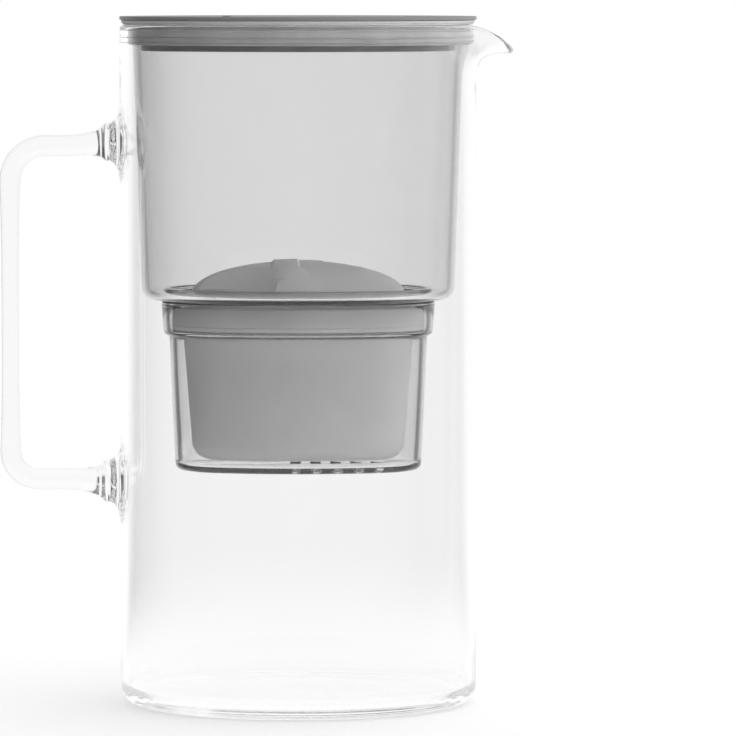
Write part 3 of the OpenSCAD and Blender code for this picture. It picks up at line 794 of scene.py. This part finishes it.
# %% Cut the outlet slots
OUTLETS, OUTLET_STEP, FIRST_OUTLET_X = 5, 7, -1
OUTLET_W, OUTLET_L = 3.6, 18


def slot_cutter(x, width, length, low, high):
    """A standing plate with round ends."""
    let_go()
    at = Vector((x, 0, (low + high) / 2)) * MM
    size = Vector((width, length, high - low)) * MM
    bpy.ops.mesh.primitive_cube_add(size=1, location=at, scale=size)
    bpy.ops.object.transform_apply(location=True, rotation=True, scale=True)
    ob = begin("slot_cutter")
    pick(ob, lambda x, y, z, way: stands(way), "EDGE")
    almost_half = 0.498
    bpy.ops.mesh.bevel(offset=width * almost_half * MM, segments=8, affect="EDGES")
    bpy.ops.object.mode_set(mode="OBJECT")
    return ob


for i in range(OUTLETS):
    outlet = slot_cutter(FIRST_OUTLET_X + i * OUTLET_STEP, OUTLET_W, OUTLET_L, 81, 85)
    combine(holder_cup, outlet, "DIFFERENCE")
finish_piece(holder_cup, smoky_holder, "hopper", ["filter_holder"])

# %% [markdown]
# ## The funnel's grommet
# Where the holder's neck passes the funnel's floor, a black rubber grommet closes the joint: a flat
# ring under the floor with a thin collar that fills the gap round the neck. The black collar is
# also painted shade. It stands in for the dark shadow of that gap, and seen through the smoky
# corner of the funnel it gives the black line under the dome.

# %% Rings of the grommet
grommet_rings = [(46.7, 141.02), (47.6, 141.02), (47.72, 141.15), (47.72, 142.1), (47.6, 142.19)]
grommet_rings += [(46.84, 142.19), (46.84, 144.3), (46.63, 144.3), (46.63, 141.1)]
# The collar's black is painted shade: it stands in for the shadow in the gap round the neck.
funnel_grommet_painted_shade = oval_wall("funnel_grommet_painted_shade", grommet_rings, ends="join")
finish_piece(funnel_grommet_painted_shade, grommet_rubber_painted_shade, "hopper", ["hopper_seal"])

# %% [markdown]
# ## The cartridge cup
# The cup is an oval tub with a rounded foot and a flat rim that rests on the seal. Four windows
# in its foot let the water out; the lower screen is seen behind them.

# %% Rings and windows of the cup
FOOT_X, FOOT_Z, FOOT_R, CUP_WALL = 31.3, 92.0, 6.0, 1.5
WINDOWS = {-21: 11.4, -7: 12.0, 7: 12.0, 21: 11.4}
WINDOW_L = 20
cup_rings = arc(FOOT_X, FOOT_Z, FOOT_R, -90, 0, 8)
cup_rings += [(38.6, 108), (39.6, 122), (40.4, 131.2), (40.55, 131.45), (43.9, 131.5)]
cup_rings += [(44.12, 131.6), (44.2, 131.85), (44.2, 132.98), (38.9, 132.98), (38.85, 131.4)]
cup_rings += [(38.1, 122), (37.1, 108)] + arc(FOOT_X, FOOT_Z, FOOT_R - CUP_WALL, 0, -90, 6)
cartridge_tub = oval_wall("cartridge_tub", cup_rings)
for x, width in WINDOWS.items():
    combine(cartridge_tub, slot_cutter(x, width, WINDOW_L, 85, 88.2), "DIFFERENCE")
finish_piece(cartridge_tub, cartridge_grey, "cartridge", ["cartridge_cup"])

# %% [markdown]
# ## The cartridge cap
# The cap has an upright rim, a sloping shoulder with inlet slots, and a dome. Two round finger
# pockets are sunk into the dome from opposite corners, and a raised grip band runs between them.
# The dome is laid out as fine oval rings. Then each vertex is lowered into the pockets or raised
# onto the band by smooth functions of its place, because a soft hollow with a soft rim has no
# edge for an edit-mode tool to take hold of.

# %% Rings of the cap
DOME_Z, DOME_A, DOME_H, DOME_RINGS = 143.6, 37.5, 11.7, 80
cap_rings = [(44.0, 133.02), (44.2, 133.2), (44.2, 139.2), (44.05, 139.75), (43.6, 140.15)]
cap_rings += [(43.0, 140.4), (41.2, 141.4), (39.4, 142.4), (38.4, 143.0), (37.9, 143.35)]
for i in range(DOME_RINGS + 1):
    a = math.radians(89 * i / DOME_RINGS)
    cap_rings.append((DOME_A, DOME_Z + DOME_H * math.sin(a), math.cos(a)))
cartridge_dome = oval_wall("cartridge_dome", cap_rings, sides=240)
print("cap rings:", len(cap_rings))


# %% Formulas for a pocket and for the grip band
POCKET_X, POCKET_Y, POCKET_R, POCKET_FLOOR = -27, -27, 19.3, 149.8
POCKET_SOFT = 0.8
GRIP_X, GRIP_HALF, GRIP_FRONT, GRIP_BACK, GRIP_H = -4.4, 4.7, -21.5, 4, 0.75


def soft_step(t):
    t = min(1.0, max(0.0, t))
    return t * t * (3 - 2 * t)


def soft_min(a, b, k):
    h = max(k - abs(a - b), 0.0) / k
    return min(a, b) - h * h * k / 4


def pocket_height(x, y):
    """The front left pocket: a sloping round floor, a soft corner and a steep wall."""
    x, y = x - POCKET_X, y - POCKET_Y
    floor = POCKET_FLOOR - 0.158 * x - 0.3 * y
    return max(floor, DOME_Z + 0.5) + 0.8 * max(0.0, math.hypot(x, y) - POCKET_R) ** 2


def grip_share(x, y, back):
    """1 on the grip band, 0 off it. Its middle line leans to the spout towards the front."""
    middle = GRIP_X + 0.016 * min(0.0, y + 4.0) ** 2
    across = soft_step((GRIP_HALF - abs(x - middle)) / 0.5)
    return across * soft_step((back - y) / 3) * soft_step((y - GRIP_FRONT) / 1.5)


# %% Sink the pockets and raise the band
for v in cartridge_dome.data.vertices:
    x, y, z = v.co / MM
    if z < DOME_Z + 0.3:
        continue
    z = soft_min(z, pocket_height(x, y), POCKET_SOFT)
    z = soft_min(z, pocket_height(-x, -y), POCKET_SOFT)
    raised = GRIP_H * max(grip_share(x, y, GRIP_BACK), grip_share(-x, -y, -GRIP_BACK))
    v.co.z = (z + raised * soft_step((z - DOME_Z) / 1.2)) * MM
print("dome top:", round(max(v.co.z for v in cartridge_dome.data.vertices) / MM, 2))

# %% Hollow the cap and cut its inlet slots
INLETS_A_SIDE, INLET_STEP, INLET_IN, INLET_Z = 11, 5, 3.6, 141.2
INLET_SIZE = Vector((1.2, 3.6, 4.6))
hollow_rings = [(42.7, 132), (42.7, 138.6), (41.8, 139.2), (38.0, 141.2), (36.2, 142.4)]
hollow_rings += [(33.5, 143.4), (30, 143.6)]
combine(cartridge_dome, oval_wall("hollow", hollow_rings, sides=96), "DIFFERENCE")
for side in (-1, 1):
    for i in range(INLETS_A_SIDE):
        let_go()
        x = (i - INLETS_A_SIDE // 2) * INLET_STEP
        y = math.sqrt((OVAL_B + OVAL_SIDE_Y - INLET_IN) ** 2 - x**2) - OVAL_SIDE_Y
        at = Vector((x, side * y, INLET_Z)) * MM
        bpy.ops.mesh.primitive_cube_add(size=1, location=at, scale=INLET_SIZE * MM)
        combine(cartridge_dome, bpy.context.object, "DIFFERENCE")
finish_piece(cartridge_dome, cartridge_grey, "cartridge", ["cartridge_cap"], angle=35)

# %% [markdown]
# ## The lid's top plate
# The plate is a flat disc, flush with the outside of the glass. It is a cylinder with both rims
# bevelled, cut out for the flap, for the hinge behind it and for the shallow finger dish in front.

# %% Sizes of the lid and the flap
LID_R, LID_LOW, LID_TOP = 62.5, 239.75, 241.0
HINGE_X, HINGE_Z = -24.0, 238.7
FLAP_FRONT, FLAP_HALF, FLAP_CORNER, FLAP_GAP = 38.0, 28.0, 14.0, 0.4
BARREL_R, BARREL_HALF, EAR_W, BORE_R, BORE_L = 2.1, 22.0, 4.0, 1.05, 60
DISH_X, DISH_R, DISH_DEEP = 40.0, 18.0, 2.6
PAD_R, PAD_THICK, PAD_Z, LEDGE = 12, 1.6, 237.55, 3
RIB_IN, RIB_BACK, RIB_WALL, RIB_LOW = 3.4, 4, 1.6, 236.8


def slab(name, x0, x1, y0, y1, z0, z1):
    let_go()
    at = Vector(((x0 + x1) / 2, (y0 + y1) / 2, (z0 + z1) / 2)) * MM
    size = Vector((x1 - x0, y1 - y0, z1 - z0)) * MM
    bpy.ops.mesh.primitive_cube_add(size=1, location=at, scale=size)
    ob = begin(name)
    bpy.ops.object.mode_set(mode="OBJECT")
    bpy.ops.object.transform_apply(location=True, rotation=True, scale=True)
    return ob


# %% The flap's outline and the hinge slot
def flap_slab(name, grow, z0, z1, back=HINGE_X):
    """A slab with the flap's rounded front corners, grown by a distance all round but its back."""
    half, front = FLAP_HALF + grow, FLAP_FRONT + grow
    ob = slab(name, back, front, -half, half, z0, z1)
    bpy.ops.object.mode_set(mode="EDIT")
    pick(ob, lambda x, y, z, way: x > front - 1 and stands(way), "EDGE")
    bpy.ops.mesh.bevel(offset=(FLAP_CORNER + grow) * MM, segments=14, affect="EDGES")
    bpy.ops.object.mode_set(mode="OBJECT")
    return ob


def hinge_slot(half, front):
    """Room for the barrel. Its back leans at the angle at which the open flap stops."""
    low, high, past_upright = 230.7, 242.0, math.radians(15)
    ob = slab("hinge_slot", HINGE_X - 2.44, HINGE_X + front, -half, half, low, high)
    bpy.ops.object.mode_set(mode="EDIT")
    bpy.ops.mesh.select_all(action="SELECT")
    bpy.ops.mesh.bisect(plane_co=(0, 0, HINGE_Z * MM), plane_no=(0, 0, 1))
    pick(ob, lambda x, y, z, n: z > LID_TOP and x < HINGE_X)
    bpy.ops.transform.translate(value=(-(high - HINGE_Z) * math.tan(past_upright) * MM, 0, 0))
    bpy.ops.object.mode_set(mode="OBJECT")
    return ob


def dish_ball():
    let_go()
    at = Vector((DISH_X, 0, LID_TOP - DISH_DEEP + DISH_R)) * MM
    bpy.ops.mesh.primitive_uv_sphere_add(
        segments=128, ring_count=96, radius=DISH_R * MM, location=at
    )
    return bpy.context.object


def rod_along_y(r, length, sides=48, y=0.0):
    let_go()
    at = Vector((HINGE_X, y, HINGE_Z)) * MM
    turned = (math.radians(90), 0, 0)
    bpy.ops.mesh.primitive_cylinder_add(
        vertices=sides, radius=r * MM, depth=length * MM, location=at, rotation=turned
    )
    return bpy.context.object


# %% The plate
let_go()
middle_z, thick = (LID_LOW + LID_TOP) / 2, LID_TOP - LID_LOW
bpy.ops.mesh.primitive_cylinder_add(
    vertices=256, radius=LID_R * MM, depth=thick * MM, location=(0, 0, middle_z * MM)
)
lid_plate = begin("lid_plate")
pick(lid_plate, lambda x, y, z, way: lies(way), "EDGE")
bpy.ops.mesh.bevel(offset=0.32 * MM, segments=3, affect="EDGES")
bpy.ops.object.mode_set(mode="OBJECT")
combine(lid_plate, flap_slab("opening", FLAP_GAP, 238, 243), "DIFFERENCE")
combine(lid_plate, hinge_slot(FLAP_HALF + FLAP_GAP, BARREL_R + FLAP_GAP), "DIFFERENCE")
combine(lid_plate, dish_ball(), "DIFFERENCE")
finish_piece(lid_plate, lid_dark, "lid", ["lid_cover"], angle=30)

# %% [markdown]
# ## The lid's plug
# Under the plate sits a lighter ring: a web with a skirt that drops into the funnel. It carries
# the ledge that the flap shuts on, the two hinge ears, and a pad under the finger dish.

# %% Turn the web and the skirt, then cut and join
plug_section = [(0, 238.25), (53.3, 238.25), (53.55, 238.05), (53.6, 237.8)]
plug_section += [(53.6, 229.45), (53.75, 229.15), (54.0, 229.05), (54.55, 229.05)]
plug_section += [(54.85, 229.2), (54.98, 229.55), (55.1, 239.73), (0, 239.73)]
lid_ring = lathe("lid_ring", plug_section, 192)
let_go()
bpy.ops.mesh.primitive_cylinder_add(
    vertices=96, radius=PAD_R * MM, depth=PAD_THICK * MM, location=(DISH_X * MM, 0, PAD_Z * MM)
)
pad = bpy.context.object
combine(pad, slab("edge", 20, FLAP_FRONT - LEDGE, -20, 20, 230, 242), "DIFFERENCE")
combine(lid_ring, pad, "UNION")
combine(lid_ring, flap_slab("opening", -LEDGE, 236, 243), "DIFFERENCE")
combine(lid_ring, hinge_slot(BARREL_HALF + FLAP_GAP, 30), "DIFFERENCE")
for side in (-1, 1):
    ear = rod_along_y(BARREL_R, EAR_W, 64, side * (BARREL_HALF + FLAP_GAP + EAR_W / 2))
    combine(lid_ring, ear, "UNION")
combine(lid_ring, rod_along_y(BORE_R, BORE_L), "DIFFERENCE")
combine(lid_ring, dish_ball(), "DIFFERENCE")
finish_piece(lid_ring, lid_mid, "lid", ["lid_plug"], angle=30)

# %% [markdown]
# ## The flap
# The flap closes the filling hole. It is a thin plate with round front corners, flush with the
# lid, with a rib below that drops into the hole and a barrel along its back that turns on the pin.

# %% Plate, rib and barrel
flap_panel = flap_slab("flap_panel", 0, 239.8, LID_TOP)
bpy.ops.object.mode_set(mode="EDIT")
pick(flap_panel, lambda x, y, z, way: lies(way) and z > LID_TOP - 0.1, "EDGE")
bpy.ops.mesh.bevel(offset=0.25 * MM, segments=3, affect="EDGES")
bpy.ops.object.mode_set(mode="OBJECT")
rib = flap_slab("rib", -RIB_IN, RIB_LOW, 239.9, back=HINGE_X + RIB_BACK)
back = HINGE_X + RIB_BACK + RIB_WALL
combine(rib, flap_slab("rib_inside", -RIB_IN - RIB_WALL, 236, 240.5, back), "DIFFERENCE")
combine(flap_panel, rib, "UNION")
reach = BARREL_R + FLAP_GAP
for y0, y1 in ((-40, -BARREL_HALF), (BARREL_HALF, 40)):
    corner = slab("corner", HINGE_X - reach, HINGE_X + reach, y0, y1, 235, 245)
    combine(flap_panel, corner, "DIFFERENCE")
combine(flap_panel, rod_along_y(BARREL_R, 2 * BARREL_HALF, 64), "UNION")
combine(flap_panel, rod_along_y(BORE_R, BORE_L), "DIFFERENCE")
finish_piece(flap_panel, lid_dark, "flap", ["flap"], angle=30)

# %% [markdown]
# ## Pieces that keep their CAD shape
# The cartridge's seal, the screens, the filter beds and the hinge pin already have their true
# shape in the CAD model, so their meshes stay and only their finish changes.

# %% Give the CAD nodes their finish
FINISHES = {
    "cartridge_seal": seal_rubber,
    "lower_screen": screen_weave,
    "upper_screen": screen_weave,
    "resin_bed": amber_resin,
    "carbon_bed": coconut_carbon,
    "hinge_pin": drawn_steel,
}
for node, finish in FINISHES.items():
    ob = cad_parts[node]
    for one in ob.material_slots:
        one.material = finish
print("CAD shapes kept:", len(FINISHES))

# %% [markdown]
# ## The studio
# The jug stands on a white sweep in soft light. Clear glass only shows by what it bends and
# mirrors, so the room is not the same for every ray. The camera, and light that only passes
# through the glass, meet white on all sides. What is mirrored is white behind the jug and darker
# beside and in front of it, like a studio with its cards at the back, and a little darker on the
# left. Light from deep inside the glass meets less white, which draws the fine lines of the welds
# and the heel. Light that runs round in a thick wall comes out pale, as it does in a white room.
#
# The opaque pieces are lit by the room too, with a level of their own: more from the right and
# from behind, and less from above, where the top lamp is.
#
# Each turn that light takes inside thick glass counts as a bounce. With few bounces its path is cut
# short, and the heel and the welds turn black, so the numbers of bounces are high.

# %% The world
WHITE = 1.0
scene = bpy.context.scene
scene.view_settings.view_transform = "Standard"
scene.cycles.max_bounces = scene.cycles.glossy_bounces = 250
scene.cycles.transmission_bounces = 60
world = bpy.data.worlds.new("studio_room")
scene.world = world
world.use_nodes = True
tree = world.node_tree
tree.nodes.clear()
print("bounces:", scene.cycles.max_bounces)


# %% Sums, blends and soft steps between sockets
def feed(sockets, values):
    """Give each socket a number, or link it to another socket."""
    for socket, value in zip(sockets, values):
        if isinstance(value, (int, float)):
            socket.default_value = value
        else:
            tree.links.new(value, socket)


def room_math(operation, *values):
    node = add(tree, "Math")
    node.operation = operation
    feed(node.inputs, values)
    return node.outputs[0]


def room_blend(share, a, b):
    node = add(tree, "Mix")
    feed((node.inputs[0], node.inputs[2], node.inputs[3]), (share, a, b))
    return node.outputs[0]


def room_step(value, low, high):
    node = add(tree, "MapRange")
    node.interpolation_type = "SMOOTHSTEP"
    feed(node.inputs[:3], (value, low, high))
    return node.outputs["Result"]


# %% What each kind of ray meets
MIRROR_FRONT, MIRROR_SIDE, MIRROR_RIGHT = 0.16, 0.38, 0.3
MIRROR_DEEP, TRAPPED_DEEP = 0.22, 0.4
LIGHT_ROUND, LIGHT_RIGHT, LIGHT_BEHIND, LIGHT_ABOVE, LIGHT_LEAST = 1.9, 1.4, 1.2, -1.15, 0.1


def room_level(way):
    """The room's level for a ray. way is the direction in which the ray meets the room."""
    rays = add(tree, "LightPath")
    split = add(tree, "SeparateXYZ")
    tree.links.new(way, split.inputs[0])
    x, y, z = split.outputs

    def after(kind, count):
        return room_math("GREATER_THAN", rays.outputs[kind], count - 0.5)

    side = room_math("MULTIPLY_ADD", x, MIRROR_RIGHT, MIRROR_SIDE)
    side = room_blend(room_step(y, -0.2, 0.3), MIRROR_FRONT, side)
    plain = room_blend(room_step(y, 0.6, 0.8), side, WHITE)
    deep = room_blend(room_step(y, 0.8, 0.97), MIRROR_DEEP, WHITE)
    trapped = after("Glossy Depth", 3)
    plain, deep = room_blend(trapped, plain, WHITE), room_blend(trapped, deep, TRAPPED_DEEP)
    mirrored = room_blend(after("Transmission Depth", 5), plain, deep)
    light = room_math("MULTIPLY_ADD", x, LIGHT_RIGHT, LIGHT_ROUND)
    light = room_math("MULTIPLY_ADD", room_step(y, 0.1, 0.6), LIGHT_BEHIND, light)
    light = room_math("MULTIPLY_ADD", z, LIGHT_ABOVE, light)
    light = room_math("MAXIMUM", light, LIGHT_LEAST)
    level = room_blend(after("Glossy Depth", 1), WHITE, mirrored)
    return room_blend(after("Diffuse Depth", 1), level, light)


place = add(tree, "TexCoord")
room = add(tree, "Background")
room.inputs["Color"].default_value = (1, 1, 1, 1)
feed([room.inputs["Strength"]], [room_level(place.outputs["Generated"])])
out = add(tree, "OutputWorld")
tree.links.new(room.outputs[0], out.inputs["Surface"])

# %% [markdown]
# The floor is a wide plane. Near the jug it is part matt paint, so it takes the jug's soft shadow,
# and part glow. Farther out it only glows, at the level that the room has in the same direction, so
# floor and background meet without a horizon, also in what the glass mirrors. For the rays that
# glass bends it glows white near the jug too, so no dark ring forms in the thick heel.

# %% The floor
FLOOR_R, FLOOR_DROP, NEAR_R, FAR_R = 6.0, 0.0002, 0.14, 0.5
PAINT_TONE, PAINT_GLOW = 0.3, 0.58
let_go()
bpy.ops.mesh.primitive_circle_add(
    vertices=96, radius=FLOOR_R, fill_type="NGON", location=(0, 0, -FLOOR_DROP)
)
floor = bpy.context.object
floor.name = "studio_floor"
bpy.ops.object.transform_apply(location=True, rotation=True, scale=True)
print("floor:", 2 * FLOOR_R, "m across")

# %% Paint and glow
floor_white = bpy.data.materials.new("floor_white")
floor_white.use_nodes = True
tree = floor_white.node_tree
tree.nodes.clear()
rays = add(tree, "LightPath")
place = add(tree, "TexCoord")
away = add(tree, "VectorMath")
away.operation = "LENGTH"
way = add(tree, "VectorMath")
way.operation = "NORMALIZE"
for node in (away, way):
    tree.links.new(place.outputs["Object"], node.inputs[0])
far = room_step(away.outputs["Value"], NEAR_R, FAR_R)
matt = add(tree, "BsdfDiffuse")
matt.inputs["Color"].default_value = (PAINT_TONE, PAINT_TONE, PAINT_TONE, 1)
glow = add(tree, "Emission")
feed([glow.inputs["Strength"]], [room_math("MULTIPLY", rays.outputs["Is Camera Ray"], PAINT_GLOW)])
near = add(tree, "AddShader")
feed(near.inputs, (matt.outputs[0], glow.outputs[0]))
white = add(tree, "Emission")
feed([white.inputs["Strength"]], [room_blend(far, WHITE, room_level(way.outputs["Vector"]))])
bent = room_math("MAXIMUM", rays.outputs["Is Glossy Ray"], rays.outputs["Is Transmission Ray"])
only_glow = add(tree, "MixShader")
feed(only_glow.inputs, (room_math("MAXIMUM", bent, far), near.outputs[0], white.outputs[0]))
out = add(tree, "OutputMaterial")
tree.links.new(only_glow.outputs[0], out.inputs["Surface"])
floor.data.materials.append(floor_white)

# %% [markdown]
# Three soft lamps light what stands in the open, such as the lid, the floor and the pieces that
# are lifted out: one from above, a stronger one from the right, and a weak one from the left. They
# are hidden from mirrored and bent light, so no lamp leaves a streak on the glass. What stands
# inside the glass is lit by the room.


# %% The lamps
def soft_lamp(name, place, aim, size, power):
    lamp = bpy.data.lights.new(name, "AREA")
    lamp.shape = "RECTANGLE"
    lamp.size, lamp.size_y = size
    lamp.energy = power
    ob = bpy.data.objects.new(name, lamp)
    ob.location = place
    ob.rotation_euler = (Vector(aim) - Vector(place)).to_track_quat("-Z", "Y").to_euler()
    ob.visible_glossy = ob.visible_transmission = False
    scene.collection.objects.link(ob)
    print(f"{name}: {power} W")


soft_lamp("top_lamp", (0.0, -0.25, 1.15), (0, 0, 0.12), (0.9, 0.9), 1.2)
soft_lamp("right_lamp", (0.95, -0.9, 0.4), (0, 0, 0.13), (0.9, 0.9), 2.0)
soft_lamp("left_lamp", (-1.1, -0.6, 0.45), (0, 0, 0.13), (0.5, 0.9), 0.5)

# %% [markdown]
# The camera stands 2.2 m in front of the jug, just above the lid, and looks down by 3.6
# degrees. A long lens keeps the jug's sides nearly upright. It stands 24.5 mm to the right of the
# jug's axis, which puts the jug in the left of the frame without a shift of the lens.

# %% The camera
lens = bpy.data.cameras.new("photo_camera")
lens.sensor_width = 36.0
lens.lens = 305.2
lens.clip_start = 0.05
camera = bpy.data.objects.new("photo_camera", lens)
camera.location = (0.0245, -2.187, 0.254)
looks_down = math.radians(3.568)
camera.rotation_euler = (math.pi / 2 - looks_down, 0, 0)
scene.collection.objects.link(camera)
scene.camera = camera
